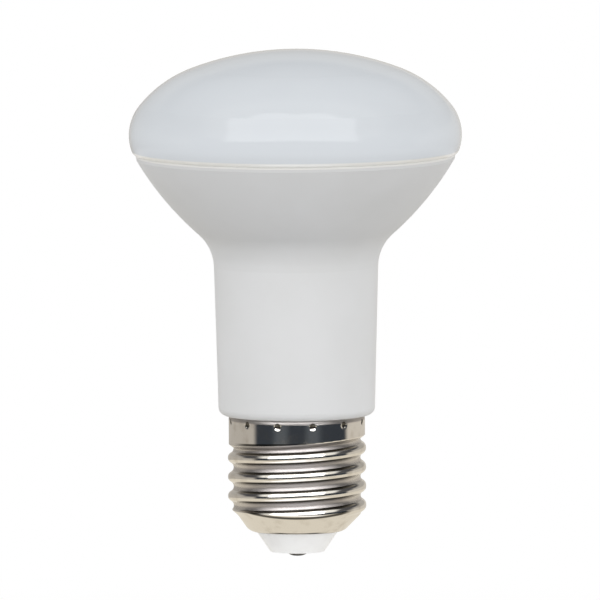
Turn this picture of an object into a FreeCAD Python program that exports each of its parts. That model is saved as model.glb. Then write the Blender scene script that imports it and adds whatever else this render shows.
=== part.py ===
import FreeCAD, Part
import math
import os

import Sketcher

# Reflector bulb, sizes in millimetres.
# Z points from the end contact towards the dome, and the origin is the lowest point of the contact.

# Sizes: name, value, meaning. A value that starts with an equals sign follows from the others.
SIZES = [
    # Heights of the main joints, each above the one before
    ("foot_z", "26.8", "height of the housing's foot and of the cap's mouth"),
    ("neck_length", "32.1", "from the foot to the sharp corner of neck and flare"),
    ("flare_height", "16.45", "from that corner to the rim"),
    ("rim_height", "0.95", "upright rim between the flare and the seam"),
    ("waist_z", "=foot_z + neck_length", "sharp corner between neck and flare, height"),
    ("rim_low_z", "=waist_z + flare_height", "height where the flare meets the rim"),
    ("seam_z", "=rim_low_z + rim_height", "height of the seam between diffuser and housing"),
    # Dome of the diffuser
    ("dome_widest_r", "31.5", "largest radius of the bulb"),
    ("dome_rise", "3.67", "largest radius above the seam"),
    ("dome_widest_z", "=seam_z + dome_rise", "height of the largest radius"),
    ("side_bend", "8.8", "bend of the dome's side"),
    ("side_turn", "38.8", "angle over which the side bends before the shoulder starts"),
    ("shoulder_bend", "22.5", "bend of the dome's shoulder"),
    ("crown_bend", "56.25", "bend of the flat crown"),
    ("dome_wall", "1.5", "wall of the diffuser"),
    ("side_centre_r", "=dome_widest_r - side_bend", "centre of the side's bend, radius"),
    ("shoulder_start_r", "=side_centre_r + side_bend * cos(side_turn)", "end of the side, radius"),
    ("shoulder_start_z", "=dome_widest_z + side_bend * sin(side_turn)", "end of the side, height"),
    ("shoulder_centre_r", "=side_centre_r - (shoulder_bend - side_bend) * cos(side_turn)", "shoulder centre, radius"),
    ("shoulder_centre_z", "=dome_widest_z - (shoulder_bend - side_bend) * sin(side_turn)", "shoulder centre, height"),
    ("crown_drop", "=sqrt((crown_bend - shoulder_bend)^2 - shoulder_centre_r^2)", "crown centre below shoulder centre"),
    ("crown_centre_z", "=shoulder_centre_z - crown_drop", "height of the crown's centre"),
    ("crown_share", "=crown_bend / (crown_bend - shoulder_bend)", "reach of the crown past the shoulder centre"),
    ("crown_start_r", "=shoulder_centre_r * crown_share", "end of the crown, radius"),
    ("crown_start_z", "=crown_centre_z + crown_drop * crown_share", "end of the crown, height"),
    ("crown_top_z", "=crown_centre_z + crown_bend", "top of the bulb"),
    # Inside of the dome, one wall further in
    ("side_bend_in", "=side_bend - dome_wall", "inside bend of the side"),
    ("shoulder_bend_in", "=shoulder_bend - dome_wall", "inside bend of the shoulder"),
    ("crown_bend_in", "=crown_bend - dome_wall", "inside bend of the crown"),
    ("shoulder_in_r", "=side_centre_r + side_bend_in * cos(side_turn)", "inside end of the side, radius"),
    ("shoulder_in_z", "=dome_widest_z + side_bend_in * sin(side_turn)", "inside end of the side, height"),
    ("crown_in_share", "=crown_bend_in / (crown_bend - shoulder_bend)", "inside reach of the crown"),
    ("crown_in_r", "=shoulder_centre_r * crown_in_share", "inside end of the crown, radius"),
    ("crown_in_z", "=crown_centre_z + crown_drop * crown_in_share", "inside end of the crown, height"),
    ("crown_top_in_z", "=crown_top_z - dome_wall", "inside of the crown"),
    # Housing
    ("rim_inset", "1.2", "rim inside the largest radius"),
    ("rim_draft", "0.2", "widening of the rim from the flare to the seam"),
    ("rim_r", "=dome_widest_r - rim_inset", "radius of the rim at the seam"),
    ("rim_low_r", "=rim_r - rim_draft", "radius of the rim at the flare"),
    ("rim_round", "0.1", "rounding of the rim's edge"),
    ("flare_bend", "58", "bend of the flare"),
    ("waist_r", "15.65", "sharp corner between neck and flare, radius"),
    ("waist_round", "8.46", "rounding between neck and flare"),
    ("foot_r", "14.77", "radius of the neck's foot"),
    ("foot_round", "1.5", "rounding of the foot"),
    ("recess_depth", "2", "recess below the lower end of the rim"),
    ("recess_z", "=rim_low_z - recess_depth", "floor of the recess"),
    ("rim_wall", "0.5", "wall between the recess's floor and a straight flare"),
    ("flare_slope", "=(rim_low_r - waist_r) / flare_height", "widening of the flare in its height"),
    ("recess_r", "=rim_low_r - flare_slope * recess_depth - rim_wall", "recess that takes the spigot"),
    # Lower edge and spigot of the diffuser
    ("lip_over", "0.05", "lower edge at the seam, past the rim"),
    ("lip_height", "0.85", "height of the rounded lower edge"),
    ("lip_fullness", "1.4", "bend of the lower edge as a share of its span"),
    ("lip_low_r", "=rim_r + lip_over", "radius of the lower edge at the seam"),
    ("lip_top_z", "=seam_z + lip_height", "height where the rounded lower edge meets the side"),
    ("lip_top_r", "=side_centre_r + sqrt(side_bend^2 - (dome_widest_z - lip_top_z)^2)", "side radius at the lower edge"),
    ("lip_span", "=sqrt((lip_top_r - lip_low_r)^2 + lip_height^2)", "straight span of the lower edge"),
    ("lip_bend", "=lip_fullness * lip_span", "rounding of the lower edge"),
    ("spigot_play", "0.1", "gap around the diffuser's spigot"),
    ("spigot_r", "=recess_r - spigot_play", "outside of the spigot that locates the diffuser"),
    ("spigot_wall", "1.3", "wall of the spigot"),
    ("spigot_length", "2.3", "length of the spigot below the seam"),
    ("spigot_in_r", "=spigot_r - spigot_wall", "inside of the spigot"),
    ("spigot_low_z", "=seam_z - spigot_length", "lower end of the spigot"),
    ("ledge_rise", "0.8", "inside ledge above the seam"),
    ("ledge_slant", "0.9", "rise of the ledge towards the side"),
    ("ledge_z", "=seam_z + ledge_rise", "inside ledge above the spigot"),
    ("ledge_side_z", "=ledge_z + ledge_slant", "height where the ledge meets the side"),
    ("ledge_side_r", "=side_centre_r + sqrt(side_bend_in^2 - (dome_widest_z - ledge_side_z)^2)", "ledge outer radius"),
    # Sheet and thread of the screw cap
    ("sheet", "0.3", "thickness of the rolled sheet"),
    ("pitch", "3.629", "rise of the thread in one turn"),
    ("thread_turns", "6", "turns of the groove, the ends lie past the thread"),
    ("crest_r", "13.1", "crest radius of the thread"),
    ("knuckle", "1.025", "bend of crest and root"),
    ("first_crest_z", "9.62", "height of the lowest crest"),
    ("crest_land", "0.012", "depth left uncut at the crest"),
    ("cut_over", "0.6", "reach of the groove's section past the crest"),
    ("half_pitch", "=pitch / 2", "height from crest to root"),
    ("crest_centre_r", "=crest_r - knuckle", "centre of the crest's bend"),
    ("centre_step", "=sqrt(4 * knuckle^2 - half_pitch^2)", "root centre beyond the crest centre"),
    ("root_centre_r", "=crest_centre_r + centre_step", "centre of the root's bend"),
    ("groove_z", "=first_crest_z - 3 * half_pitch", "start height of the groove"),
    ("share_r", "=centre_step / (2 * knuckle)", "sideways share of the flank's direction"),
    ("share_z", "=half_pitch / (2 * knuckle)", "upward share of the flank's direction"),
    # Outside wave of the sheet
    ("out_root_bend", "=knuckle", "outside bend of the root"),
    ("out_crest_bend", "=knuckle", "outside bend of the crest"),
    ("out_flank_r", "=root_centre_r - share_r * out_root_bend", "where root and crest meet, radius"),
    ("out_flank_up_z", "=groove_z + share_z * out_root_bend", "upper meeting of root and crest"),
    ("out_flank_low_z", "=groove_z - share_z * out_root_bend", "lower meeting of root and crest"),
    ("out_rise", "=out_crest_bend - crest_land", "height of the crest end over its centre"),
    ("out_gap", "=half_pitch - sqrt(out_crest_bend^2 - out_rise^2)", "half height of the groove's mouth"),
    ("out_end_r", "=crest_centre_r + out_rise", "radius of the groove's mouth"),
    ("out_end_up_z", "=groove_z + out_gap", "upper edge of the groove's mouth"),
    ("out_end_low_z", "=groove_z - out_gap", "lower edge of the groove's mouth"),
    ("out_past_r", "=out_end_r + cut_over", "outer end of the groove's section"),
    # Inside wave of the sheet
    ("in_root_bend", "=knuckle + sheet", "inside bend of the root"),
    ("in_crest_bend", "=knuckle - sheet", "inside bend of the crest"),
    ("in_flank_r", "=root_centre_r - share_r * in_root_bend", "where root and crest meet inside, radius"),
    ("in_flank_up_z", "=groove_z + share_z * in_root_bend", "upper meeting inside"),
    ("in_flank_low_z", "=groove_z - share_z * in_root_bend", "lower meeting inside"),
    ("in_rise", "=in_crest_bend - crest_land", "height of the inside crest end over its centre"),
    ("in_gap", "=half_pitch - sqrt(in_crest_bend^2 - in_rise^2)", "half height of the inside mouth"),
    ("in_end_r", "=crest_centre_r + in_rise", "radius of the inside mouth"),
    ("in_end_up_z", "=groove_z + in_gap", "upper edge of the inside mouth"),
    ("in_end_low_z", "=groove_z - in_gap", "lower edge of the inside mouth"),
    ("in_past_r", "=in_end_r + cut_over", "outer end of the inside section"),
    # Collar of the screw cap
    ("mouth_over", "0.5", "reach of the hollow past the mouth and the lip"),
    ("out_collar_r", "12.9", "outside radius of the plain collar"),
    ("out_top_z", "=foot_z", "mouth of the cap, on the housing's foot"),
    ("step_down", "4.2", "step from collar to crest below the mouth"),
    ("out_step_z", "=foot_z - step_down", "upper end of the step from collar to crest"),
    ("step_drop", "0.2", "height of the step from collar to crest"),
    ("out_step_low_z", "=out_step_z - step_drop", "lower end of the step"),
    ("out_crest_r", "=crest_r", "blank radius for the thread"),
    ("collar_length", "4.5", "length of the collar with its sloping underside"),
    ("collar_low_z", "=foot_z - collar_length", "lowest point of the collar's sloping underside"),
    ("collar_slope", "1", "height and depth of the collar's sloping underside"),
    ("collar_up_z", "=collar_low_z + collar_slope", "upper end of the underside"),
    ("out_collar_low_r", "=out_collar_r - collar_slope", "lower radius of the underside"),
    ("in_collar_r", "=out_collar_r - sheet", "inside radius of the collar"),
    ("in_top_z", "=foot_z + mouth_over", "hollow reaches past the mouth"),
    ("in_step_z", "=out_step_z", "upper end of the inside step"),
    ("in_step_low_z", "=out_step_low_z", "lower end of the inside step"),
    ("in_crest_r", "=crest_r - sheet", "inside blank radius for the thread"),
    ("in_collar_low_r", "=in_collar_r - collar_slope", "inside lower radius of the underside"),
    # Cone and lip of the screw cap
    ("out_bevel_z", "9.25", "upper end of the bevel below the thread"),
    ("out_cone_r", "11.55", "wide end of the cone, radius"),
    ("out_cone_z", "7.85", "wide end of the cone, height"),
    ("cone_narrowing", "2.61", "narrowing of the cone from its wide end to the lip"),
    ("lip_corner_r", "=out_cone_r - cone_narrowing", "sharp corner between cone and lip, radius"),
    ("out_lip_z", "4.7", "height of the lip's face"),
    ("lip_round", "2.2", "rounding between cone and lip"),
    ("lip_width", "1.09", "width of the lip from that corner to its opening"),
    ("lip_open_r", "=lip_corner_r - lip_width", "opening of the lip"),
    ("cone_run", "=sqrt((out_cone_r - lip_corner_r)^2 + (out_cone_z - out_lip_z)^2)", "length of the cone"),
    ("cone_dir_r", "=(out_cone_r - lip_corner_r) / cone_run", "sideways share of the cone's direction"),
    ("cone_dir_z", "=(out_cone_z - out_lip_z) / cone_run", "upward share of the cone's direction"),
    ("lip_touch", "=lip_round * (1 - cone_dir_r) / cone_dir_z", "length that the lip's rounding takes"),
    ("out_lip_r", "=lip_corner_r - lip_touch", "rounding meets the lip's face"),
    ("out_turn_r", "=lip_corner_r + lip_touch * cone_dir_r", "rounding meets the cone, radius"),
    ("out_turn_z", "=out_lip_z + lip_touch * cone_dir_z", "rounding meets the cone, height"),
    ("out_lip_bend", "=lip_round", "outside bend of the lip"),
    ("in_lip_bend", "=lip_round - sheet", "inside bend of the lip"),
    ("in_lip_r", "=out_lip_r", "inside rounding meets the lip's face"),
    ("in_lip_z", "=out_lip_z + sheet", "inside height of the lip"),
    ("in_turn_r", "=out_turn_r - sheet * cone_dir_z", "inside rounding meets the cone, radius"),
    ("in_turn_z", "=out_turn_z + sheet * cone_dir_r", "inside rounding meets the cone, height"),
    ("bevel_run", "=sqrt((crest_r - out_cone_r)^2 + (out_bevel_z - out_cone_z)^2)", "length of the bevel"),
    ("bevel_dir_r", "=(crest_r - out_cone_r) / bevel_run", "sideways share of the bevel's direction"),
    ("bevel_dir_z", "=(out_bevel_z - out_cone_z) / bevel_run", "upward share of the bevel's direction"),
    ("mitre_r", "=cone_dir_z + bevel_dir_z", "direction of the corner between cone and bevel, radius"),
    ("mitre_z", "=cone_dir_r + bevel_dir_r", "direction of the corner between cone and bevel, height"),
    ("mitre_share", "=sheet / (1 + cone_dir_r * bevel_dir_r + cone_dir_z * bevel_dir_z)", "reach of that corner"),
    ("in_cone_r", "=out_cone_r - mitre_r * mitre_share", "inside wide end of the cone, radius"),
    ("in_cone_z", "=out_cone_z + mitre_z * mitre_share", "inside wide end of the cone, height"),
    ("in_bevel_z", "=out_bevel_z + sheet * (1 - bevel_dir_z) / bevel_dir_r", "inside upper end of the bevel"),
    ("hollow_low_z", "=out_lip_z - mouth_over", "hollow reaches past the lip"),
    # Staking dimples that hold the cap on the housing
    ("stake_count", "12", "number of dimples round the collar"),
    ("stake_turn", "13.5", "angle of the first dimple"),
    ("stake_drop", "1.25", "dimples below the mouth"),
    ("stake_z", "=foot_z - stake_drop", "height of the dimples"),
    ("stake_depth", "0.25", "depth of a dimple"),
    ("stake_half", "0.65", "half width of a dimple"),
    ("out_stake_ball", "=(stake_half^2 + stake_depth^2) / (2 * stake_depth)", "outside bend of a dimple"),
    ("in_stake_ball", "=out_stake_ball + sheet", "inside bend of a dimple"),
    ("stake_r", "=out_collar_r - stake_depth + out_stake_ball", "centre radius of a dimple"),
    ("stake_x", "=stake_r * cos(stake_turn)", "centre of the first dimple along X"),
    ("stake_y", "=stake_r * sin(stake_turn)", "centre of the first dimple along Y"),
    # Part of the housing that stands inside the cap
    ("plug_play", "0.05", "gap between housing and collar"),
    ("plug_r", "=in_collar_r - plug_play", "housing inside the collar"),
    ("plug_rise", "0.1", "gap between the collar's underside and the housing"),
    ("plug_low_z", "=collar_up_z + plug_rise", "lower end of the housing inside the collar"),
    ("nose_r", "11.35", "housing inside the thread"),
    ("nose_low_z", "17", "lower end of the housing"),
    ("slot_half", "0.95", "half height of the groove that the dimples reach into"),
    ("slot_floor_half", "0.6", "half height of the groove's floor"),
    ("slot_depth", "0.5", "depth of that groove"),
    ("slot_r", "=plug_r - slot_depth", "floor radius of that groove"),
    ("slot_low_z", "=stake_z - slot_half", "lower edge of the groove"),
    ("slot_floor_low_z", "=stake_z - slot_floor_half", "lower edge of the groove's floor"),
    ("slot_floor_up_z", "=stake_z + slot_floor_half", "upper edge of the groove's floor"),
    ("slot_up_z", "=stake_z + slot_half", "upper edge of the groove"),
    # Insulator
    ("insulator_low_z", "0.85", "flat lower face of the insulator"),
    ("insulator_low_r", "5.1", "radius of the lower face"),
    ("lip_play", "0.1", "gap between insulator and lip"),
    ("insulator_neck_r", "=lip_open_r - lip_play", "insulator in the lip"),
    ("collar_gap", "0.25", "gap between the lip and the insulator's flange"),
    ("flange_low_z", "=in_lip_z + collar_gap", "lower face of the flange"),
    ("flange_reach", "0.65", "reach of the flange past the lip's opening"),
    ("flange_r", "=insulator_neck_r + flange_reach", "flange radius at its lower face"),
    ("flange_widening", "1", "widening of the flange up to its upper face"),
    ("flange_wide_r", "=flange_r + flange_widening", "flange radius at its upper face"),
    ("flange_top_z", "7", "upper face of the flange"),
    ("cup_wall", "1.8", "wall of the insulator at its upper face"),
    ("cup_r", "=flange_wide_r - cup_wall", "hollow of the insulator, upper radius"),
    ("cup_low_r", "4.4", "hollow of the insulator, lower radius"),
    ("cup_low_z", "2.6", "floor of the hollow"),
    ("shank_play", "0.1", "gap round the contact's shank"),
    ("shank_r", "1.2", "shank of the contact"),
    ("hole_r", "=shank_r + shank_play", "hole for the shank"),
    # Contact
    ("head_r", "2", "radius of the contact's head"),
    ("head_flat_r", "0.7", "flattened middle of the head"),
    ("head_edge_z", "0.6", "lower end of the head's straight edge"),
    ("head_bend", "2.1", "bend of the head"),
    ("peen_gap", "0.05", "gap between the insulator's floor and the spread end"),
    ("peen_low_z", "=cup_low_z + peen_gap", "lower face of the spread end"),
    ("peen_r", "1.9", "radius of the spread end"),
    ("peen_side_z", "3", "upper end of the spread end's side"),
    ("peen_top_r", "1.4", "top radius of the spread end"),
    ("peen_top_z", "3.3", "top of the contact"),
]

# Names for a corner on the turning axis or at height zero
AXIS = "axis"
GROUND = "ground"
# Sides to which a curved edge bows, seen along its direction
LEFT = 1
RIGHT = -1
# Largest difference between an edge and the size that names it
NEAR = 0.001
FULL_TURN = 360
SHEET_LABEL = "sizes"

document = FreeCAD.newDocument("reflector_bulb")


def make_sheet():
    """Fill the size sheet, one size in a row."""
    sheet = document.addObject("Spreadsheet::Sheet", SHEET_LABEL)
    for row, (alias, value, meaning) in enumerate(SIZES, start=1):
        sheet.set("A%d" % row, meaning)
        sheet.set("B%d" % row, value)
        sheet.setAlias("B%d" % row, alias)
    document.recompute()
    return sheet


sizes = make_sheet()


def size(alias):
    """Value of one size, zero for the axis and the ground."""
    if alias in (AXIS, GROUND):
        return 0.0
    return float(sizes.get(alias))


def tie(target, setting, alias):
    """Bind one setting of an object to a size."""
    target.setExpression(setting, "%s.%s" % (SHEET_LABEL, alias))


def origin_part(body, role):
    """Plane or axis of a body's own origin."""
    return next(part for part in body.Origin.OriginFeatures if part.Role == role)


def make_body(label):
    """Empty body at the common origin."""
    body = document.addObject("PartDesign::Body", label)
    body.Label = label
    body.Placement = FreeCAD.Placement()
    return body


class Outline:
    """Closed section in the upright plane of a body, each corner tied to two sizes."""

    def __init__(self, body, label, radius_name, height_name):
        self.sketch = body.newObject("Sketcher::SketchObject", label)
        self.sketch.AttachmentSupport = [(origin_part(body, "XZ_Plane"), "")]
        self.sketch.MapMode = "FlatFace"
        self.corners = [(radius_name, height_name)]
        self.edges = []

    def line(self, radius_name, height_name):
        """Straight edge to the next corner."""
        self.edges.append(None)
        self.corners.append((radius_name, height_name))
        return self

    def arc(self, radius_name, height_name, bend_name, side):
        """Round edge of the named bend to the next corner."""
        self.edges.append((bend_name, side))
        self.corners.append((radius_name, height_name))
        return self

    def point(self, index):
        """Corner as a point of the section."""
        radius_name, height_name = self.corners[index % len(self.corners)]
        return FreeCAD.Vector(size(radius_name), size(height_name), 0)

    def add_edge(self, index):
        """Add one edge and return its number with the numbers of its first and last end."""
        first = self.point(index)
        last = self.point(index + 1)
        edge = self.edges[index]
        if edge is None:
            number = self.sketch.addGeometry(Part.LineSegment(first, last), False)
            return number, 1, 2
        bend_name, side = edge
        bend = size(bend_name)
        chord = last - first
        half = chord.Length / 2
        across = FreeCAD.Vector(-chord.y, chord.x, 0).normalize()
        height = bend - math.sqrt(bend ** 2 - half ** 2)
        middle = (first + last) / 2 + across * (side * height)
        if side == RIGHT:
            number = self.sketch.addGeometry(Part.Arc(first, middle, last), False)
            ends = (number, 1, 2)
        else:
            number = self.sketch.addGeometry(Part.Arc(last, middle, first), False)
            ends = (number, 2, 1)
        radius = self.sketch.addConstraint(Sketcher.Constraint("Radius", number, bend))
        tie(self.sketch, "Constraints[%d]" % radius, bend_name)
        return ends

    def place(self, number, end, kind, axis, alias):
        """Hold one end on an axis or at a named distance from it."""
        if alias in (AXIS, GROUND):
            self.sketch.addConstraint(Sketcher.Constraint("PointOnObject", number, end, axis))
            return
        held = self.sketch.addConstraint(Sketcher.Constraint(kind, -1, 1, number, end, size(alias)))
        tie(self.sketch, "Constraints[%d]" % held, alias)

    def close(self):
        """Close the section with a straight edge and return its sketch."""
        self.edges.append(None)
        ends = [self.add_edge(index) for index in range(len(self.edges))]
        for index, (number, first, last) in enumerate(ends):
            next_number, next_first, next_last = ends[(index + 1) % len(ends)]
            self.sketch.addConstraint(Sketcher.Constraint("Coincident", number, last, next_number, next_first))
            radius_name, height_name = self.corners[index]
            self.place(number, first, "DistanceX", -2, radius_name)
            self.place(number, first, "DistanceY", -1, height_name)
        return self.sketch


def revolve(body, sketch, label):
    """Turn a section round the bulb's axis."""
    turned = body.newObject("PartDesign::Revolution", label)
    turned.Profile = sketch
    turned.ReferenceAxis = (sketch, ["V_Axis"])
    turned.Angle = FULL_TURN
    body.Tip = turned
    document.recompute()
    return turned


def round_edge(body, label, radius_name, height_name, round_name):
    """Round the ring-shaped edge that has the named radius and height."""
    base = body.Tip
    names = []
    for number, edge in enumerate(base.Shape.Edges, start=1):
        curve = edge.Curve
        if not isinstance(curve, Part.Circle):
            continue
        same_radius = abs(curve.Radius - size(radius_name)) < NEAR
        same_height = abs(curve.Center.z - size(height_name)) < NEAR
        if same_radius and same_height:
            names.append("Edge%d" % number)
    if len(names) != 1:
        raise ValueError("%s: %d edges found" % (label, len(names)))
    rounded = body.newObject("PartDesign::Fillet", label)
    rounded.Base = (base, names)
    tie(rounded, "Radius", round_name)
    body.Tip = rounded
    document.recompute()
    return rounded


def make_diffuser():
    """Opal cover: thin dome with a rounded lower edge and a spigot."""
    body = make_body("diffuser")
    outline = Outline(body, "diffuser_section", AXIS, "crown_top_z")
    outline.arc("crown_start_r", "crown_start_z", "crown_bend", LEFT)
    outline.arc("shoulder_start_r", "shoulder_start_z", "shoulder_bend", LEFT)
    outline.arc("lip_top_r", "lip_top_z", "side_bend", LEFT)
    outline.arc("lip_low_r", "seam_z", "lip_bend", LEFT)
    outline.line("spigot_r", "seam_z")
    outline.line("spigot_r", "spigot_low_z")
    outline.line("spigot_in_r", "spigot_low_z")
    outline.line("spigot_in_r", "ledge_z")
    outline.line("ledge_side_r", "ledge_side_z")
    outline.arc("shoulder_in_r", "shoulder_in_z", "side_bend_in", RIGHT)
    outline.arc("crown_in_r", "crown_in_z", "shoulder_bend_in", RIGHT)
    outline.arc(AXIS, "crown_top_in_z", "crown_bend_in", RIGHT)
    revolve(body, outline.close(), "dome")
    return body


def make_housing():
    """White body: rim, flare, neck and foot, with the plug and nose that stand in the cap."""
    body = make_body("housing")
    outline = Outline(body, "housing_section", AXIS, "nose_low_z")
    outline.line("nose_r", "nose_low_z")
    outline.line("nose_r", "plug_low_z")
    outline.line("plug_r", "plug_low_z")
    outline.line("plug_r", "slot_low_z")
    outline.line("slot_r", "slot_floor_low_z")
    outline.line("slot_r", "slot_floor_up_z")
    outline.line("plug_r", "slot_up_z")
    outline.line("plug_r", "foot_z")
    outline.line("foot_r", "foot_z")
    outline.line("waist_r", "waist_z")
    outline.arc("rim_low_r", "rim_low_z", "flare_bend", RIGHT)
    outline.line("rim_r", "seam_z")
    outline.line("recess_r", "seam_z")
    outline.line("recess_r", "recess_z")
    outline.line(AXIS, "recess_z")
    revolve(body, outline.close(), "shell")
    round_edge(body, "waist_rounding", "waist_r", "waist_z", "waist_round")
    round_edge(body, "foot_rounding", "foot_r", "foot_z", "foot_round")
    round_edge(body, "rim_rounding", "rim_r", "seam_z", "rim_round")
    return body


def blank_outline(body, side):
    """Section of the cap before threading, outside or inside of the sheet."""
    outline = Outline(body, side + "_blank_section", AXIS, side + "_top_z")
    outline.line(side + "_collar_r", side + "_top_z")
    outline.line(side + "_collar_r", side + "_step_z")
    outline.line(side + "_crest_r", side + "_step_low_z")
    outline.line(side + "_crest_r", side + "_bevel_z")
    outline.line(side + "_cone_r", side + "_cone_z")
    outline.line(side + "_turn_r", side + "_turn_z")
    outline.arc(side + "_lip_r", side + "_lip_z", side + "_lip_bend", LEFT)
    if side == "in":
        outline.line("lip_open_r", "in_lip_z")
        outline.line("lip_open_r", "hollow_low_z")
        outline.line(AXIS, "hollow_low_z")
    else:
        outline.line(AXIS, "out_lip_z")
    return outline.close()


def cut_thread(body, side):
    """Run the wave's groove up the blank as a right-handed screw."""
    outline = Outline(body, side + "_wave_section", side + "_end_r", side + "_end_low_z")
    outline.arc(side + "_flank_r", side + "_flank_low_z", side + "_crest_bend", RIGHT)
    outline.arc(side + "_flank_r", side + "_flank_up_z", side + "_root_bend", LEFT)
    outline.arc(side + "_end_r", side + "_end_up_z", side + "_crest_bend", RIGHT)
    outline.line(side + "_past_r", side + "_end_up_z")
    outline.line(side + "_past_r", side + "_end_low_z")
    sketch = outline.close()
    groove = body.newObject("PartDesign::SubtractiveHelix", side + "_thread")
    groove.Profile = sketch
    groove.ReferenceAxis = (sketch, ["V_Axis"])
    groove.Mode = "pitch-turns-angle"
    tie(groove, "Pitch", "pitch")
    tie(groove, "Turns", "thread_turns")
    groove.Angle = 0
    groove.LeftHanded = False
    groove.Reversed = False
    body.Tip = groove
    document.recompute()
    return groove


def fill_collar(body, side):
    """Fill the groove above the thread, which leaves the plain collar with its sloping underside."""
    outline = Outline(body, side + "_collar_section", AXIS, side + "_top_z")
    outline.line(side + "_collar_r", side + "_top_z")
    outline.line(side + "_collar_r", "collar_up_z")
    outline.line(side + "_collar_low_r", "collar_low_z")
    outline.line(AXIS, "collar_low_z")
    return revolve(body, outline.close(), side + "_collar")


def press_stakes(body, side):
    """Press the ring of round dimples into the collar."""
    ball = body.newObject("PartDesign::SubtractiveSphere", side + "_stake")
    ball.AttachmentSupport = [(origin_part(body, "XY_Plane"), "")]
    ball.MapMode = "FlatFace"
    tie(ball, "Radius", side + "_stake_ball")
    tie(ball, "AttachmentOffset.Base.x", "stake_x")
    tie(ball, "AttachmentOffset.Base.y", "stake_y")
    tie(ball, "AttachmentOffset.Base.z", "stake_z")
    body.Tip = ball
    document.recompute()
    ring = body.newObject("PartDesign::PolarPattern", side + "_stakes")
    ring.Originals = [ball]
    ring.Axis = (origin_part(body, "Z_Axis"), [""])
    ring.Angle = FULL_TURN
    tie(ring, "Occurrences", "stake_count")
    body.Tip = ring
    document.recompute()
    return ring


def make_cap_form(side):
    """Solid form that follows the outside or the inside of the cap's sheet."""
    body = make_body("cap_" + side + "_form")
    revolve(body, blank_outline(body, side), side + "_blank")
    cut_thread(body, side)
    fill_collar(body, side)
    press_stakes(body, side)
    return body


def make_screw_cap():
    """Rolled sheet between the two forms: collar, thread, cone and lip in one piece."""
    cap = document.addObject("Part::Cut", "screw_cap")
    cap.Label = "screw_cap"
    cap.Base = make_cap_form("out")
    cap.Tool = make_cap_form("in")
    cap.Placement = FreeCAD.Placement()
    document.recompute()
    return cap


def make_insulator():
    """White cone with a flange behind the lip, hollow above and bored for the contact."""
    body = make_body("insulator")
    outline = Outline(body, "insulator_section", "hole_r", "insulator_low_z")
    outline.line("insulator_low_r", "insulator_low_z")
    outline.line("insulator_neck_r", "out_lip_z")
    outline.line("insulator_neck_r", "flange_low_z")
    outline.line("flange_r", "flange_low_z")
    outline.line("flange_wide_r", "flange_top_z")
    outline.line("cup_r", "flange_top_z")
    outline.line("cup_low_r", "cup_low_z")
    outline.line("hole_r", "cup_low_z")
    revolve(body, outline.close(), "plug")
    return body


def make_contact():
    """Rivet with a low domed head, a shank through the insulator and a spread end."""
    body = make_body("contact")
    outline = Outline(body, "contact_section", AXIS, GROUND)
    outline.line("head_flat_r", GROUND)
    outline.arc("head_r", "head_edge_z", "head_bend", RIGHT)
    outline.line("head_r", "insulator_low_z")
    outline.line("shank_r", "insulator_low_z")
    outline.line("shank_r", "peen_low_z")
    outline.line("peen_r", "peen_low_z")
    outline.line("peen_r", "peen_side_z")
    outline.line("peen_top_r", "peen_top_z")
    outline.line(AXIS, "peen_top_z")
    revolve(body, outline.close(), "rivet")
    return body


pieces = [make_diffuser(), make_housing(), make_screw_cap(), make_insulator(), make_contact()]
document.recompute()

# Every object has to be sound before a piece is written.
for item in document.Objects:
    if "Invalid" in item.State or "Error" in item.State:
        raise RuntimeError("%s is not sound: %s" % (item.Label, item.State))
for piece in pieces:
    if piece.Shape.isNull() or not piece.Shape.isValid():
        raise RuntimeError("%s has no valid form" % piece.Label)

os.makedirs("parts", exist_ok=True)
for piece in pieces:
    piece.Shape.exportStep("parts/%s.step" % piece.Label)
    box = piece.Shape.BoundBox
    print(piece.Label, len(piece.Shape.Solids), round(piece.Shape.Volume, 1), round(box.ZMin, 3), round(box.ZMax, 3))
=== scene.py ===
import logging
import math
from dataclasses import dataclass, field
from enum import Enum
from typing import Any, Optional, Union

import bpy
import numpy as np
from mathutils import Matrix, Vector


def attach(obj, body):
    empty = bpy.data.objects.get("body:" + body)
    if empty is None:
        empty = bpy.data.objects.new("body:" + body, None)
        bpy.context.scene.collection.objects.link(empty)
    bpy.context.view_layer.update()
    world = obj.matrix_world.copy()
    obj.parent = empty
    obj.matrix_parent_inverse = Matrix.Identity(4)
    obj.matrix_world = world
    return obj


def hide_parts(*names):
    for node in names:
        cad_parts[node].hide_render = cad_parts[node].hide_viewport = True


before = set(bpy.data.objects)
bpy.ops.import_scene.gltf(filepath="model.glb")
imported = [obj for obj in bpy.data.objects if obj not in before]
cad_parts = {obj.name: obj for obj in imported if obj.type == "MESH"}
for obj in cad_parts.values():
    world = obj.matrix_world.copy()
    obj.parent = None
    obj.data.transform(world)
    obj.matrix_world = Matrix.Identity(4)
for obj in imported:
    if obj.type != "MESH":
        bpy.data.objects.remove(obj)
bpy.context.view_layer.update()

# Lengths are metres, heights count from the end contact, and turns start at the bulb's +X side.
MM = 0.001
# Sizes that the cap's mesh and its finish share: the thread, the collar and the dimples in it.
PITCH = 3.629 * MM
FIRST_CREST = 9.62 * MM
COLLAR_RADIUS = 12.9 * MM
STAKES = 12
STAKE_STEP = math.tau / STAKES
STAKE_TURN = math.radians(13.5)
STAKE_HEIGHT = 25.55 * MM
LOG = logging.getLogger("reflector_bulb")

Number = Union[int, float]
Value = Union["Wire", int, float]
Colour = tuple[float, float, float]
Paint = Union["Wire", Colour]
Span = tuple[float, float]
Row = tuple[float, float, float]


class Slot(Enum):
    """Finishes that the record names, one for each piece."""

    OPAL = "opal"
    WHITE_BODY = "white_body"
    PLATING = "cap_plating"
    INSULATOR = "white_insulator"
    CONTACT = "contact_metal"


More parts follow.
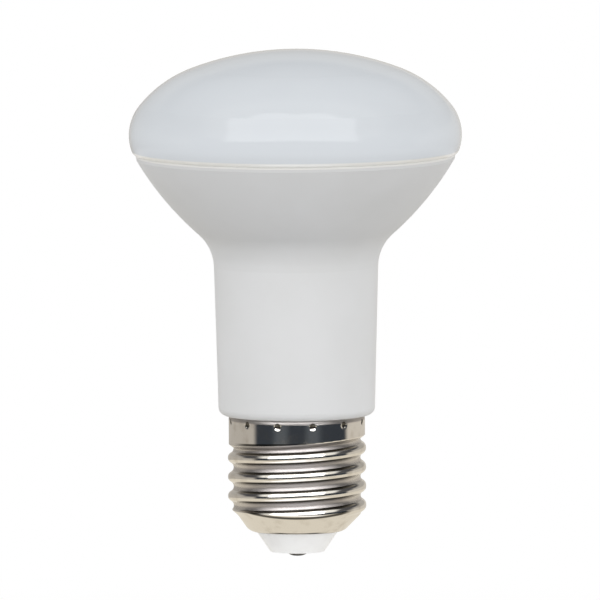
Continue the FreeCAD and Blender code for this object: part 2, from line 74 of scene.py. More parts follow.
class Operation(Enum):
    """Sums that a Math node does."""

    ADD = "ADD"
    SUBTRACT = "SUBTRACT"
    MULTIPLY = "MULTIPLY"
    DIVIDE = "DIVIDE"
    POWER = "POWER"
    SIZE = "ABSOLUTE"
    ROOT = "SQRT"
    ANGLE = "ARCTAN2"
    FRACTION = "FRACT"
    LARGER = "MAXIMUM"


class Wire:
    """An output socket that takes part in sums, so that a shader reads like a formula."""

    def __init__(self, shader: "Shader", socket: Optional[bpy.types.NodeSocket]) -> None:
        """Hold a socket of the given shader."""
        self.shader = shader
        self.socket = socket

    def _math(self, operation: Operation, *values: Value) -> "Wire":
        """Add one Math node with its values in order."""
        settings = {"operation": operation.value}
        return self.shader.node("ShaderNodeMath", settings, dict(enumerate(values)))

    def __add__(self, other: Value) -> "Wire":
        """This wire plus another value."""
        return self._math(Operation.ADD, self, other)

    __radd__ = __add__

    def __sub__(self, other: Value) -> "Wire":
        """This wire less another value."""
        return self._math(Operation.SUBTRACT, self, other)

    def __rsub__(self, other: Value) -> "Wire":
        """Another value less this wire."""
        return self._math(Operation.SUBTRACT, other, self)

    def __mul__(self, other: Value) -> "Wire":
        """This wire times another value."""
        return self._math(Operation.MULTIPLY, self, other)

    __rmul__ = __mul__

    def __truediv__(self, other: Value) -> "Wire":
        """This wire divided by another value."""
        return self._math(Operation.DIVIDE, self, other)

    def __rtruediv__(self, other: Value) -> "Wire":
        """Another value divided by this wire."""
        return self._math(Operation.DIVIDE, other, self)

    def __pow__(self, other: Value) -> "Wire":
        """This wire raised to a power."""
        return self._math(Operation.POWER, self, other)

    def __neg__(self) -> "Wire":
        """This wire with its sign turned."""
        return self._math(Operation.MULTIPLY, self, -1.0)

    def __abs__(self) -> "Wire":
        """This wire without its sign."""
        return self._math(Operation.SIZE, self)

    def away(self, aside: "Wire") -> "Wire":
        """Length of the line whose two parts are this wire and another."""
        return self._math(Operation.ROOT, self * self + aside * aside)

    def turn_from(self, along: "Wire") -> "Wire":
        """Angle of the point whose second part is this wire and whose first part is another."""
        return self._math(Operation.ANGLE, self, along)

    def part(self) -> "Wire":
        """What is left of this wire above its next lower whole number."""
        return self._math(Operation.FRACTION, self)

    def at_least(self, low: Value) -> "Wire":
        """This wire, or the given value where that is larger."""
        return self._math(Operation.LARGER, self, low)

    def step(self, low: Number, high: Number) -> "Wire":
        """Soft step from 0 at one value to 1 at another.

        Args:
            low: Value where the step starts.
            high: Value where the step ends; it may be the smaller one.

        Returns:
            A wire between 0 and 1.
        """
        if low > high:
            return 1.0 - self.step(high, low)
        ends = {"Value": self, "From Min": low, "From Max": high, "To Min": 0.0, "To Max": 1.0}
        return self.shader.node("ShaderNodeMapRange", {"interpolation_type": "SMOOTHSTEP"}, ends)

    def band(self, rise: Span, fall: Span) -> "Wire":
        """1 between two soft steps, and 0 beyond them."""
        return self.step(*rise) * self.step(*fall)


@dataclass(frozen=True)
class Grain:
    """Soft noise: grains in a metre, number of finer layers and factor along each axis."""

    scale: float
    detail: float = 2.0
    stretch: tuple[float, float, float] = (1.0, 1.0, 1.0)


class Shader:
    """A node tree that is filled by expressions and by one call for each other node."""

    def __init__(self, tree: bpy.types.NodeTree) -> None:
        """Empty the given tree."""
        self.tree = tree
        self.tree.nodes.clear()

    def node(
        self,
        kind: str,
        settings: Optional[dict[str, Any]] = None,
        inputs: Optional[dict[Union[int, str], Any]] = None,
        output: Union[int, str] = 0,
    ) -> Wire:
        """Add one node.

        Args:
            kind: The node's type.
            settings: Settings of the node, set before its sockets.
            inputs: Values or wires by the sockets' names or places.
            output: Name or place of the socket to return.

        Returns:
            The chosen output, or a wire without a socket where the node has none.
        """
        node = self.tree.nodes.new(kind)
        for name, value in (settings or {}).items():
            setattr(node, name, value)
        for place, value in (inputs or {}).items():
            if isinstance(value, Wire):
                self.tree.links.new(value.socket, node.inputs[place])
            else:
                node.inputs[place].default_value = value
        if not node.outputs:
            return Wire(self, None)
        return Wire(self, node.outputs[output])

    def place(self) -> Wire:
        """Position of the surface point, in metres in the piece's own frame."""
        return self.node("ShaderNodeTexCoord", output="Object")

    def parts(self, vector: Wire) -> tuple[Wire, ...]:
        """Split a vector into its three parts."""
        split = self.node("ShaderNodeSeparateXYZ", inputs={0: vector}).socket.node
        return tuple(Wire(self, socket) for socket in split.outputs)

    def rays(self) -> tuple[Wire, Wire]:
        """Masks of the camera's own rays and of the rays that a glossy surface mirrors."""
        outputs = self.node("ShaderNodeLightPath").socket.node.outputs
        return Wire(self, outputs["Is Camera Ray"]), Wire(self, outputs["Is Glossy Ray"])

    def noise(self, grain: Grain) -> Wire:
        """Soft noise over the surface.

        Args:
            grain: Its scale, detail and stretch.

        Returns:
            A wire around one half.
        """
        inputs = {0: self.place(), 1: grain.stretch}
        place = self.node("ShaderNodeVectorMath", {"operation": "MULTIPLY"}, inputs)
        inputs = {"Vector": place, "Scale": grain.scale, "Detail": grain.detail}
        return self.node("ShaderNodeTexNoise", inputs=inputs)

    def whole(self, paint: Paint) -> Any:
        """Colour with its fourth part, or the wire as it is."""
        return paint if isinstance(paint, Wire) else (*paint, 1.0)

    def mix(self, share: Value, first: Paint, second: Paint) -> Wire:
        """Blend two colours.

        Args:
            share: Share of the second colour.
            first: First colour or wire.
            second: Second colour or wire.

        Returns:
            The blended colour.
        """
        inputs = {0: share, 6: self.whole(first), 7: self.whole(second)}
        return self.node("ShaderNodeMix", {"data_type": "RGBA"}, inputs, output=2)

    def grey(self, value: Wire) -> Wire:
        """Colour whose three parts are the same number."""
        return self.node("ShaderNodeCombineXYZ", inputs={0: value, 1: value, 2: value})

    def glow(self, colour: Paint) -> Wire:
        """Surface that sends out its colour as light."""
        inputs = {"Color": self.whole(colour), "Strength": 1.0}
        return self.node("ShaderNodeEmission", inputs=inputs)

    def either(self, share: Value, first: Wire, second: Wire) -> Wire:
        """Mix of two surfaces, with the given share of the second."""
        return self.node("ShaderNodeMixShader", inputs={0: share, 1: first, 2: second})

    def bump(self, height: Wire, strength: Number, depth: Number) -> Wire:
        """Normal of a surface with a small relief.

        Args:
            height: Relief between 0 and 1.
            strength: How much of the relief shows.
            depth: Depth of the relief in metres.

        Returns:
            The normal.
        """
        inputs = {"Strength": strength, "Distance": depth, "Height": height}
        return self.node("ShaderNodeBump", inputs=inputs)

    def finish(self, surface: dict[str, Any]) -> None:
        """Add the main shader with its values or wires, and the output."""
        shader = self.node("ShaderNodeBsdfPrincipled", inputs=surface)
        self.node("ShaderNodeOutputMaterial", inputs={"Surface": shader})


def new_material(name: str) -> tuple[bpy.types.Material, Shader]:
    """Make an empty material.

    Args:
        name: Name of the material.

    Returns:
        The material and its shader.
    """
    material = bpy.data.materials.new(name)
    material.use_nodes = True
    return material, Shader(material.node_tree)


@dataclass(frozen=True)
class OpalFinish:
    """Glossy milk-white cover with faint clouds; painted light makes it paler low down, and a
    painted highlight makes it palest at its lower edge.
    """

    clear: Colour = (0.595, 0.622, 0.65)
    cloud: Colour = (0.58, 0.608, 0.638)
    # Painted light: a paler colour on the lower cover, standing in for light that passes through
    # the opal from the sides.
    low: Colour = (0.755, 0.79, 0.828)
    painted_light_low_span: Span = (85.5 * MM, 78.0 * MM)
    # Painted highlight: a near-white colour on the rounded lower edge, standing in for the light
    # line that it catches.
    edge: Colour = (0.985, 0.98, 0.955)
    painted_highlight_edge_span: Span = (77.2 * MM, 76.85 * MM)
    density: float = 1.3
    skin: float = 2.2
    skin_gloss: float = 0.3
    gloss: float = 0.04
    gloss_change: float = 0.02
    clouds: Grain = Grain(45.0, 3.0)
    cloud_span: Span = (0.35, 0.7)
    wipes: Grain = Grain(135.0, 4.0)
    ripple: Grain = Grain(120.0, 1.0)
    ripple_strength: float = 0.25
    ripple_depth: float = 0.02 * MM

    def make(self) -> bpy.types.Material:
        """Build the material.

        Returns:
            The finished material.
        """
        material, shader = new_material("opal_cover")
        cloud = shader.noise(self.clouds).step(*self.cloud_span)
        wipe = shader.noise(self.wipes)
        relief = shader.noise(self.ripple)
        _, _, height = shader.parts(shader.place())
        # Painted light masks: low for the paler lower cover, edge for the painted highlight on
        # the lower edge.
        low = height.step(*self.painted_light_low_span)
        edge = height.step(*self.painted_highlight_edge_span)
        colour = shader.mix(low, shader.mix(cloud, self.clear, self.cloud), self.low)
        shader.finish({
            # Painted highlight on the lower edge goes into the base colour; the same mask also
            # adds a real clear coat there.
            "Base Color": shader.mix(edge, colour, self.edge),
            "Roughness": self.gloss + self.gloss_change * wipe,
            "IOR": self.density,
            "Coat Weight": edge,
            "Coat IOR": self.skin,
            "Coat Roughness": self.skin_gloss,
            "Normal": shader.bump(relief, self.ripple_strength, self.ripple_depth),
        })
        return material


@dataclass(frozen=True)
class BodyFinish:
    """Satin white moulding with a fine grain and faint handling marks, with painted shade on the
    rim band under the seam and a painted highlight along the seam.
    """

    clean: Colour = (0.80, 0.805, 0.81)
    shade: Colour = (0.775, 0.78, 0.78)
    # Painted shade: a darker colour on the rim band under the cover's overhanging edge.
    rim: Colour = (0.75, 0.755, 0.755)
    painted_shade_rim_span: Span = (75.2 * MM, 75.4 * MM)
    # Painted highlight: a pale line along the seam, standing in for the light line there.
    seam: Colour = (0.90, 0.895, 0.87)
    painted_highlight_seam_span: Span = (75.8 * MM, 76.0 * MM)
    density: float = 1.5
    satin: float = 0.38
    satin_change: float = 0.12
    clouds: Grain = Grain(60.0, 3.0)
    cloud_span: Span = (0.35, 0.7)
    marks: Grain = Grain(240.0, 5.0)
    grain: Grain = Grain(2600.0, 1.0)
    grain_strength: float = 0.2
    grain_depth: float = 0.015 * MM

    def make(self) -> bpy.types.Material:
        """Build the material.

        Returns:
            The finished material.
        """
        material, shader = new_material("white_body")
        cloud = shader.noise(self.clouds).step(*self.cloud_span)
        marks = shader.noise(self.marks)
        grain = shader.noise(self.grain)
        _, _, height = shader.parts(shader.place())
        # Painted shade mask for the rim band.
        rim = height.step(*self.painted_shade_rim_span)
        # Painted highlight mask for the seam.
        seam = height.step(*self.painted_highlight_seam_span)
        colour = shader.mix(rim, shader.mix(cloud, self.clean, self.shade), self.rim)
        shader.finish({
            "Base Color": shader.mix(seam, colour, self.seam),
            "Roughness": self.satin + self.satin_change * marks,
            "IOR": self.density,
            "Normal": shader.bump(grain, self.grain_strength, self.grain_depth),
        })
        return material


@dataclass(frozen=True)
class PaintedShadeMasks:
    """Masks of painted shade and painted dark reflections on the cap.

    A phase runs from 0 at one crest of the thread to 1 at the next. A facing value is 0 at the
    bulb's side and nearly 1 at its front.
    """

    axis_guard: float = 1.0 * MM
    thread_start: Span = (8.9 * MM, 9.4 * MM)
    thread_end: Span = (22.6 * MM, 22.2 * MM)
    low_edge_start: Span = (0.20, 0.245)
    low_edge_end: Span = (0.35, 0.305)
    low_edge_facing: Span = (0.30, 0.60)
    high_edge_start: Span = (0.69, 0.735)
    high_edge_end: Span = (0.845, 0.80)
    high_edge_facing: Span = (0.35, 0.65)
    bottom_start: Span = (0.29, 0.34)
    bottom_end: Span = (0.75, 0.71)
    bottom_facing: Span = (0.4, 0.85)
    bottom_aside: float = 0.5
    mouth: Span = (25.80 * MM, 26.15 * MM)
    mouth_shade_share: float = 0.8
    stake_rise: float = 0.20 * MM
    stake_shade: Span = (0.64 * MM, 0.48 * MM)
    crease: float = 8.05 * MM
    crease_rise: float = 3.0 * MM
    crease_half: Span = (0.34 * MM, 0.14 * MM)
    crease_facing: Span = (0.50, 0.72)

    def masks(self, shader: Shader) -> tuple[Wire, Wire]:
        """Masks of the places with painted shade and painted dark reflections.

        Args:
            shader: The shader to add to.

        Returns:
            The places with painted shade that also get a rougher surface, which are the bottoms
            of the valleys, stronger at the front, and the mouth under the housing's foot, and the
            places painted dark, which are painted dark reflection lines on both edges of the
            valleys towards the front, painted shade in the dimples, and a painted shadow line in
            the crease where the thread runs out.
        """
        x, y, z = shader.parts(shader.place())
        turn = y.turn_from(x)
        facing = -y / (x.away(y) + self.axis_guard)
        phase = ((z - FIRST_CREST) / PITCH - turn / math.tau).part()
        threaded = z.band(self.thread_start, self.thread_end)
        # Painted dark reflection lines on both edges of each valley, only towards the front.
        low_edge = phase.band(self.low_edge_start, self.low_edge_end)
        low_edge = low_edge * facing.step(*self.low_edge_facing)
        high_edge = phase.band(self.high_edge_start, self.high_edge_end)
        high_edge = high_edge * facing.step(*self.high_edge_facing)
        edges = low_edge.at_least(high_edge) * threaded
        # Painted shade in the valley bottoms, half as strong at the side and full at the front.
        share = self.bottom_aside + (1.0 - self.bottom_aside) * facing.step(*self.bottom_facing)
        bottom = phase.band(self.bottom_start, self.bottom_end) * threaded * share
        # The dull mask is painted shade at the valley bottoms and at the mouth under the
        # housing's foot.
        dull = bottom.at_least(z.step(*self.mouth) * self.mouth_shade_share)
        aside = ((turn - STAKE_TURN) / STAKE_STEP + 0.5).part() - 0.5
        aside = aside * (STAKE_STEP * COLLAR_RADIUS)
        # Painted shade in each dimple, centred a little above it.
        dimple = aside.away(z - (STAKE_HEIGHT + self.stake_rise)).step(*self.stake_shade)
        # Painted shadow line in the crease where the thread runs out into the cone, only towards
        # the front.
        crease = abs(z - (self.crease + self.crease_rise * (1.0 - facing)))
        crease = crease.step(*self.crease_half) * facing.step(*self.crease_facing)
        return dull, edges.at_least(dimple).at_least(crease)


@dataclass(frozen=True)
class PlatingFinish:
    """Polished nickel plating on rolled sheet, with rolling lines and dull patches, and with
    painted shade and painted dark reflections in the thread, the dimples and the mouth.
    """

    bright: Colour = (0.82, 0.79, 0.74)
    dull: Colour = (0.70, 0.66, 0.60)
    # Painted dark reflections and painted shade: near-black for the valley edges, the dimples and
    # the crease.
    dark: Colour = (0.05, 0.045, 0.035)
    painted_dark_share: float = 0.95
    # Painted shade: a darker, duller colour for the valley bottoms and the mouth.
    painted_dull_shade: Colour = (0.40, 0.375, 0.365)
    gloss: float = 0.09
    gloss_change: float = 0.16
    valley_gloss: float = 0.36
    patches: Grain = Grain(420.0, 4.0)
    patch_span: Span = (0.45, 0.8)
    wear: Grain = Grain(1500.0, 3.0)
    lines: Grain = Grain(900.0, 2.0, (0.15, 0.15, 4.0))
    line_depth: float = 0.006 * MM
    ripple: Grain = Grain(260.0, 2.0)
    ripple_strength: float = 0.35
    ripple_depth: float = 0.03 * MM
    painted_shade: PaintedShadeMasks = PaintedShadeMasks()

    def make(self) -> bpy.types.Material:
        """Build the material.

        Returns:
            The finished material.
        """
        material, shader = new_material("nickel_plating")
        patches = shader.noise(self.patches).step(*self.patch_span)
        wear = shader.noise(self.wear)
        lines = shader.noise(self.lines) * (self.line_depth / self.ripple_depth)
        relief = lines + shader.noise(self.ripple)
        painted_dull_shade, dark = self.painted_shade.masks(shader)
        colour = shader.mix(patches, self.bright, self.dull)
        # Painted shade on the valley bottoms and the mouth.
        colour = shader.mix(painted_dull_shade, colour, self.painted_dull_shade)
        # Painted dark reflections and painted shade over the base colour.
        colour = shader.mix(dark * self.painted_dark_share, colour, self.dark)
        gloss = self.gloss + self.gloss_change * patches * wear + self.valley_gloss * painted_dull_shade
        shader.finish({
            "Base Color": colour,
            "Metallic": 1.0,
            "Roughness": gloss,
            "Normal": shader.bump(relief, self.ripple_strength, self.ripple_depth),
        })
        return material


@dataclass(frozen=True)
class InsulatorFinish:
    """Hard white moulding that carries the end contact."""

    clean: Colour = (0.95, 0.95, 0.94)
    shade: Colour = (0.91, 0.905, 0.895)
    density: float = 1.5
    satin: float = 0.28
    satin_change: float = 0.1
    clouds: Grain = Grain(300.0, 3.0)
    cloud_span: Span = (0.4, 0.75)
    grain: Grain = Grain(3500.0, 1.0)
    grain_strength: float = 0.2
    grain_depth: float = 0.01 * MM

    def make(self) -> bpy.types.Material:
        """Build the material.

        Returns:
            The finished material.
        """
        material, shader = new_material("insulator_white")
        cloud = shader.noise(self.clouds).step(*self.cloud_span)
        grain = shader.noise(self.grain)
        shader.finish({
            "Base Color": shader.mix(cloud, self.clean, self.shade),
            "Roughness": self.satin + self.satin_change * cloud,
            "IOR": self.density,
            "Normal": shader.bump(grain, self.grain_strength, self.grain_depth),
        })
        return material


@dataclass(frozen=True)
class ContactFinish:
    """Plain plated rivet with a little wear and fine scratches."""

    bright: Colour = (0.36, 0.36, 0.355)
    dull: Colour = (0.26, 0.255, 0.25)
    satin: float = 0.28
    satin_change: float = 0.2
    wear: Grain = Grain(1800.0, 4.0)
    wear_span: Span = (0.4, 0.7)
    scratches: Grain = Grain(2500.0, 2.0, (1.0, 6.0, 1.0))
    scratch_strength: float = 0.3
    scratch_depth: float = 0.01 * MM

    def make(self) -> bpy.types.Material:
        """Build the material.

        Returns:
            The finished material.
        """
        material, shader = new_material("contact_metal")
        worn = shader.noise(self.wear).step(*self.wear_span)
        scratch = shader.noise(self.scratches)
        shader.finish({
            "Base Color": shader.mix(worn, self.bright, self.dull),
            "Metallic": 1.0,
            "Roughness": self.satin + self.satin_change * worn,
            "Normal": shader.bump(scratch, self.scratch_strength, self.scratch_depth),
        })
        return material


def dress(node: str, material: bpy.types.Material) -> bpy.types.Object:
    """Give a solid of the frame a better material.

    Args:
        node: Name of the node.
        material: Its new material.

    Returns:
        The node's object.
    """
    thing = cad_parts[node]
    for place in thing.material_slots:
        place.material = material
    return thing


@dataclass
class Head:
    """The opal cover and the white body, which keep the solids' own forms."""

    opal: OpalFinish = OpalFinish()
    body: BodyFinish = BodyFinish()

    def build(self) -> dict[Slot, bpy.types.Object]:
        """Dress both pieces.

        Returns:
            The dressed objects by their finishes.
        """
        return {
            Slot.OPAL: dress("diffuser", self.opal.make()),
            Slot.WHITE_BODY: dress("housing", self.body.make()),
        }


@dataclass
class ScrewCap:
    """Rolled cap: plain collar with dimples, knuckle thread, cone and curled lip.

    The names that start with inner belong to the hollow inside, and those that end in rows and
    columns to the grid of the mesh.
    """

    crest_radius: float = 13.1 * MM
    knuckle: float = 1.025 * MM
    mouth: float = 26.8 * MM
    mouth_roll: float = 0.22 * MM
    mouth_roll_height: float = 1.1 * MM
    mouth_edge: float = 0.02 * MM
    mouth_edge_inset: float = 0.03 * MM
    collar_edge: float = 22.15 * MM
    collar_tilt: float = 0.85 * MM
    collar_slope: float = 1.25
    collar_limit_start: float = 0.5 * MM
    collar_limit_run: float = 0.6 * MM
    bevel_top: float = 9.25 * MM
    run_out: float = 0.6 * MM
    run_out_turn: float = math.radians(-55)
    cone_radius: float = 11.55 * MM
    cone_top: float = 7.85 * MM
    cone_edge: float = 0.1 * MM
    lip_corner: float = 8.94 * MM
    lip: float = 4.7 * MM
    lip_round: float = 2.2 * MM
    lip_opening: float = 7.85 * MM
    lip_edge: float = 0.06 * MM
    lip_edge_cut: float = 0.3
    sheet: float = 0.3 * MM
    inner_cone_radius: float = 11.1 * MM
    inner_cone_top: float = 8.3 * MM
    inner_cone_run_out: float = 0.5
    inner_thread_radius: float = 11.65 * MM
    inner_thread: Span = (9.2 * MM, 22.3 * MM)
    inner_collar_radius: float = 12.6 * MM
    inner_collar: Span = (23.25 * MM, 24.7 * MM)
    inner_stakes_radius: float = 12.2 * MM
    inner_stakes: Span = (25.1 * MM, 26.0 * MM)
    inner_mouth: float = 26.4 * MM
    blend: float = 0.12 * MM
    stake_depth: float = 0.25 * MM
    stake_half: float = 0.65 * MM
    stake_soft: float = 0.03 * MM
    columns: int = 360
    rows: int = 176
    cone_rows: int = 8
    lip_rows: int = 8
    inner_lip_rows: int = 4
    finish: PlatingFinish = PlatingFinish()

    def soft_max(self, first: np.ndarray, second: np.ndarray) -> np.ndarray:
        """Larger of two radii with a rounded change between them."""
        gap = np.clip(1 - np.abs(first - second) / self.blend, 0, 1)
        return np.maximum(first, second) + gap ** 2 * self.blend / 4

    def soft_min(self, first: np.ndarray, second: np.ndarray) -> np.ndarray:
        """Smaller of two radii with a rounded change between them."""
        return -self.soft_max(-first, -second)

    def wave(self, turn: np.ndarray, height: np.ndarray) -> np.ndarray:
        """Radius of the knuckle thread, arcs for crest and root that touch on the flank.

        Args:
            turn: Angles around the bulb.
            height: Heights on the bulb.

        Returns:
            Radii of the thread.
        """
        crest_centre = self.crest_radius - self.knuckle
        root_centre = crest_centre + math.sqrt(4 * self.knuckle ** 2 - PITCH ** 2 / 4)
        rise = (height - FIRST_CREST) / PITCH - turn / math.tau
        from_crest = np.abs(rise - np.round(rise)) * PITCH
        from_root = PITCH / 2 - from_crest
        crest = crest_centre + np.sqrt(np.maximum(self.knuckle ** 2 - from_crest ** 2, 0))
        root = root_centre - np.sqrt(np.maximum(self.knuckle ** 2 - from_root ** 2, 0))
        return np.where(from_crest < PITCH / 4, crest, root)

    def edge(self, turn: np.ndarray) -> np.ndarray:
        """Height of the collar's lower edge, which follows the last turn of the thread."""
        return self.collar_edge + self.collar_tilt * np.cos(turn)

    def collar(self, turn: np.ndarray, height: np.ndarray) -> np.ndarray:
        """Radius of the plain collar.

        Args:
            turn: Angles around the bulb.
            height: Heights on the bulb.

        Returns:
            Radii of the collar, with its slope below the edge and its roll at the mouth.
        """
        under = COLLAR_RADIUS - self.collar_slope * np.maximum(self.edge(turn) - height, 0)
        rolled = np.clip((height - self.mouth) / self.mouth_roll_height + 1, 0, 1)
        return under - self.mouth_roll * rolled ** 2

    def fade(self, turn: np.ndarray) -> np.ndarray:
        """Change of the radius around the bulb where the thread runs out into the cone."""
        return self.run_out * np.cos(turn - self.run_out_turn)

    def bevel(self, turn: np.ndarray, height: np.ndarray) -> np.ndarray:
        """Largest radius that the bevel under the thread allows."""
        slope = (self.crest_radius - self.cone_radius) / (self.bevel_top - self.cone_top)
        return self.cone_radius + slope * (height - self.cone_top) + self.fade(turn)

    def dimple(self, turn: np.ndarray, height: np.ndarray) -> np.ndarray:
        """Depth of the staking dimples.

        Args:
            turn: Angles around the bulb.
            height: Heights on the bulb.

        Returns:
            Depths below the collar.
        """
        ball = (self.stake_half ** 2 + self.stake_depth ** 2) / (2 * self.stake_depth)
        aside = (turn - STAKE_TURN) / STAKE_STEP
        aside = (aside - np.round(aside)) * STAKE_STEP * COLLAR_RADIUS
        away = np.hypot(aside, height - STAKE_HEIGHT)
        pit = np.sqrt(np.maximum(ball ** 2 - away ** 2, 0)) - (ball - self.stake_depth)
        return np.maximum(pit, 0) ** 2 / (np.maximum(pit, 0) + self.stake_soft)

    def outer_radius(self, turn: np.ndarray, height: np.ndarray) -> np.ndarray:
        """Outside radius of collar, thread and bevel.

        Args:
            turn: Angles around the bulb.
            height: Heights on the bulb.

        Returns:
            Radii of the sheet's outside.
        """
        above = height - self.edge(turn) + self.collar_limit_start
        above = np.clip(above / self.collar_limit_run, 0, 1)
        limit = self.crest_radius - (self.crest_radius - COLLAR_RADIUS) * above
        collar = self.collar(turn, height)
        threaded = self.soft_min(self.wave(turn, height), limit)
        threaded = np.where(above < 1, threaded, np.minimum(threaded, collar))
        radius = np.minimum(self.soft_max(threaded, collar), limit)
        radius = self.soft_min(radius, self.bevel(turn, height))
        return radius - self.dimple(turn, height)

    def lower_profile(self) -> list[Row]:
        """Rows from the cone's wide end downwards, round the lip and up on its inside.

        Returns:
            Radius, height and share of the run-out of each row.
        """
        run = math.hypot(self.cone_radius - self.lip_corner, self.cone_top - self.lip)
        aside = (self.cone_radius - self.lip_corner) / run
        up = (self.cone_top - self.lip) / run
        # The lip's round meets the cone and the flat underside this far from their corner.
        touch = self.lip_round * (1 - aside) / up
        start = (self.lip_corner + touch * aside, self.lip + touch * up)
        turn = math.acos(aside)
        centre = (self.lip_corner - touch, self.lip + self.lip_round)
        inner = self.lip_round - self.sheet
        cut = self.lip_edge * self.lip_edge_cut
        cone = [
            (
                self.cone_radius + (start[0] - self.cone_radius) * share,
                self.cone_top + (start[1] - self.cone_top) * share,
                1 - share,
            )
            for share in np.linspace(0, 1, self.cone_rows + 1)[1:]
        ]
        outside = [
            (
                centre[0] + self.lip_round * math.sin(turn * (1 - share)),
                centre[1] - self.lip_round * math.cos(turn * (1 - share)),
                0.0,
            )
            for share in np.linspace(0, 1, self.lip_rows + 1)[1:]
        ]
        opening = [
            (self.lip_opening + cut, self.lip + cut, 0.0),
            (self.lip_opening, self.lip + self.lip_edge, 0.0),
            (self.lip_opening, self.lip + self.sheet - self.lip_edge, 0.0),
        ]
        inside = [
            (
                centre[0] + inner * math.sin(turn * share),
                centre[1] - inner * math.cos(turn * share),
                0.0,
            )
            for share in np.linspace(0, 1, self.inner_lip_rows + 1)
        ]
        return cone + outside + opening + inside

    def inner_profile(self) -> list[Row]:
        """Rows of the plain hollow from the cone up to the mouth.

        Returns:
            Radius, height and share of the run-out of each row.
        """
        return [
            (self.inner_cone_radius, self.inner_cone_top, 1.0),
            (self.inner_thread_radius, self.inner_thread[0], self.inner_cone_run_out),
            (self.inner_thread_radius, self.inner_thread[1], 0.0),
            (self.inner_collar_radius, self.inner_collar[0], 0.0),
            (self.inner_collar_radius, self.inner_collar[1], 0.0),
            (self.inner_stakes_radius, self.inner_stakes[0], 0.0),
            (self.inner_stakes_radius, self.inner_stakes[1], 0.0),
            (self.inner_collar_radius, self.inner_mouth, 0.0),
            (self.inner_collar_radius, self.mouth, 0.0),
        ]

    def mesh(self) -> bpy.types.Mesh:
        """Build the closed sheet as one grid around the axis.

        Returns:
            The mesh.
        """
        turns = np.linspace(0, math.tau, self.columns, endpoint=False)
        top, bottom = self.mouth - self.mouth_edge, self.cone_top + self.cone_edge
        turn, height = np.meshgrid(turns, np.linspace(top, bottom, self.rows))
        outside = self.outer_radius(turn, height)
        # The mouth's own row, a little inside the next one, rounds the upper edge.
        radii = [np.minimum(outside[:1] - self.mouth_edge_inset, COLLAR_RADIUS), outside]
        heights = [np.full((1, self.columns), self.mouth), height]
        for row_radius, row_height, share in self.lower_profile() + self.inner_profile():
            radii.append(row_radius + share * self.fade(turns)[None, :])
            heights.append(np.full((1, self.columns), row_height))
        radius, height = np.vstack(radii), np.vstack(heights)
        points = np.stack([radius * np.cos(turns), radius * np.sin(turns), height], axis=-1)
        count = radius.shape[0]
        row, column = np.meshgrid(np.arange(count), np.arange(self.columns), indexing="ij")
        beside = (column + 1) % self.columns
        below = (row + 1) % count
        corners = (row, column), (below, column), (below, beside), (row, beside)
        faces = np.stack([r * self.columns + c for r, c in corners], axis=-1)
        mesh = bpy.data.meshes.new("rolled_cap")
        mesh.from_pydata(points.reshape(-1, 3).tolist(), [], faces.reshape(-1, 4).tolist())
        mesh.validate()
        mesh.shade_smooth()
        return mesh

    def build(self) -> dict[Slot, bpy.types.Object]:
        """Make the cap and put it in the solid's place.

        Returns:
            The cap by its finish.
        """
        cap = bpy.data.objects.new("rolled_cap", self.mesh())
        bpy.context.scene.collection.objects.link(cap)
        cap.data.materials.append(self.finish.make())
        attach(cap, "root")
        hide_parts("screw_cap")
        return {Slot.PLATING: cap}


@dataclass
class EndPlug:
    """The insulator and the contact, which keep the solids' own forms."""

    insulator: InsulatorFinish = InsulatorFinish()
    contact: ContactFinish = ContactFinish()

    def build(self) -> dict[Slot, bpy.types.Object]:
        """Dress both pieces.

        Returns:
            The dressed objects by their finishes.
        """
        return {
            Slot.INSULATOR: dress("insulator", self.insulator.make()),
            Slot.CONTACT: dress("contact", self.contact.make()),
        }


